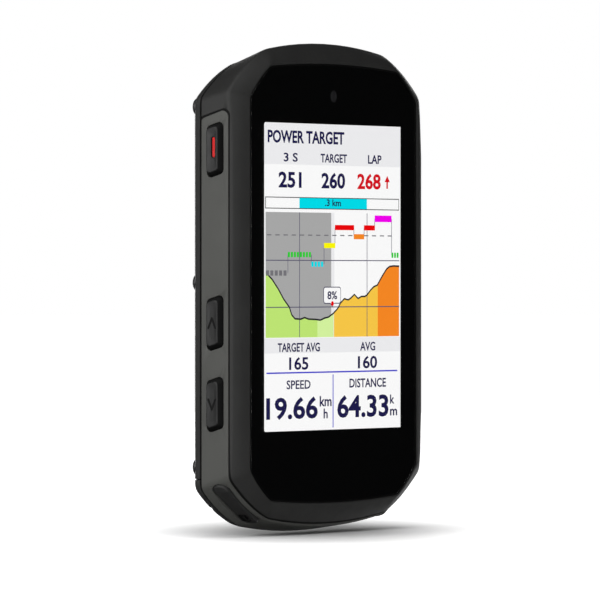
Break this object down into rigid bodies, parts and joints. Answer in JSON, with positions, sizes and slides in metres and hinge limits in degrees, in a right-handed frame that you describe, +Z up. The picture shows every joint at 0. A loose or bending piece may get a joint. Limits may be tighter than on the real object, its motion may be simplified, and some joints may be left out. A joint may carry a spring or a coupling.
{
  "type": "cycling computer",
  "caption": "Handlebar cycling computer: tall display in a faceted case, side and corner push-buttons, rubber port door and quarter-turn rear mount.",
  "frame": {"origin": "centre of the quarter-turn mount's end face", "axes": "+Z up the screen, +X to the right seen from the front, +Y out of the back along the mount's axis; the glass faces -Y"},
  "size_m": [0.0598, 0.0196, 0.0851],
  "materials": {
    "case_plastic": "fine spark texture, glass-fibre filled",
    "band_plastic": "fine matte texture, warm grey",
    "button_plastic": "smooth satin",
    "mark_red": "satin red inlay",
    "seal_rubber": "matte",
    "door_rubber": "soft matte",
    "glass_black": "polished chemically strengthened glass, printed black behind",
    "adhesive": "clear",
    "lcd_cell": "lit transflective display",
    "white_plastic": "diffuse",
    "chip_plastic": "moulded epoxy",
    "flex_film": "polyimide",
    "connector_plastic": "natural",
    "frame_metal": "die cast",
    "screw_steel": "machined",
    "screw_black": "black oxide",
    "sheet_steel": "tinned sheet",
    "brass": "knurled",
    "board": "solder mask",
    "antenna_ceramic": "fired",
    "battery_pouch": "laminated foil",
    "foam": "closed cell foam",
    "wire": "insulated wire",
    "mount_plastic": "hard satin plastic"
  },
  "bodies": {
    "housing": {"front_bezel": "case_plastic", "side_band": "band_plastic", "rear_cover": "case_plastic", "rear_chin": "case_plastic", "case_gasket": "seal_rubber", "cover_glass": "glass_black", "glass_gasket": "seal_rubber", "optical_adhesive": "adhesive", "lcd_panel": "lcd_cell", "backlight": "white_plastic", "light_sensor": "chip_plastic", "display_flex": "flex_film", "display_connector": "connector_plastic", "inner_frame": "frame_metal", "frame_screws": "screw_steel", "main_board": "board", "board_screws": "screw_steel", "processor": "chip_plastic", "memory_chip": "chip_plastic", "power_chip": "chip_plastic", "shield_can": "sheet_steel", "gps_antenna": "antenna_ceramic", "radio_antenna": "antenna_ceramic", "buzzer": "chip_plastic", "pressure_sensor": "sheet_steel", "vent_membrane": "white_plastic", "side_switches": "sheet_steel", "corner_switches": "sheet_steel", "button_seals": "seal_rubber", "battery": "battery_pouch", "battery_pads": "foam", "battery_leads": "wire", "battery_connector": "connector_plastic", "usb_receptacle": "sheet_steel", "usb_tongue": "chip_plastic", "usb_seal": "seal_rubber", "mount_plate": "mount_plastic", "mount_screws": "screw_steel", "cover_screws": "screw_black", "threaded_inserts": "brass"},
    "port_door": {"port_door": "door_rubber"},
    "power_button": {"power_button": "button_plastic", "power_stem": "screw_steel", "power_mark": "mark_red"},
    "up_button": {"up_button": "button_plastic", "up_stem": "screw_steel"},
    "down_button": {"down_button": "button_plastic", "down_stem": "screw_steel"},
    "lap_button": {"lap_button": "button_plastic", "lap_stem": "screw_steel"},
    "select_button": {"select_button": "button_plastic", "select_stem": "screw_steel"},
    "return_button": {"return_button": "button_plastic", "return_stem": "screw_steel"},
    "start_button": {"start_button": "button_plastic", "start_stem": "screw_steel"}
  },
  "joints": [
    {"name": "port_door_hinge", "type": "hinge", "parent": "housing", "child": "port_door", "pos_m": [0, -0.00575, -0.0344], "axis": [1, 0, 0], "range_deg": [0, 90]},
    {"name": "power_press", "type": "slide", "parent": "housing", "child": "power_button", "axis": [1, 0, 0], "range_m": [0, 0.0005], "stiffness_N_per_m": 3500},
    {"name": "up_press", "type": "slide", "parent": "housing", "child": "up_button", "axis": [1, 0, 0], "range_m": [0, 0.0005], "stiffness_N_per_m": 3500},
    {"name": "down_press", "type": "slide", "parent": "housing", "child": "down_button", "axis": [1, 0, 0], "range_m": [0, 0.0005], "stiffness_N_per_m": 3500},
    {"name": "lap_press", "type": "slide", "parent": "housing", "child": "lap_button", "axis": [0.5337, 0, 0.8457], "range_m": [0, 0.0005], "stiffness_N_per_m": 3500},
    {"name": "select_press", "type": "slide", "parent": "housing", "child": "select_button", "axis": [-1, 0, 0], "range_m": [0, 0.0005], "stiffness_N_per_m": 3500},
    {"name": "return_press", "type": "slide", "parent": "housing", "child": "return_button", "axis": [-1, 0, 0], "range_m": [0, 0.0005], "stiffness_N_per_m": 3500},
    {"name": "start_press", "type": "slide", "parent": "housing", "child": "start_button", "axis": [-0.5337, 0, 0.8457], "range_m": [0, 0.0005], "stiffness_N_per_m": 3500}
  ]
}
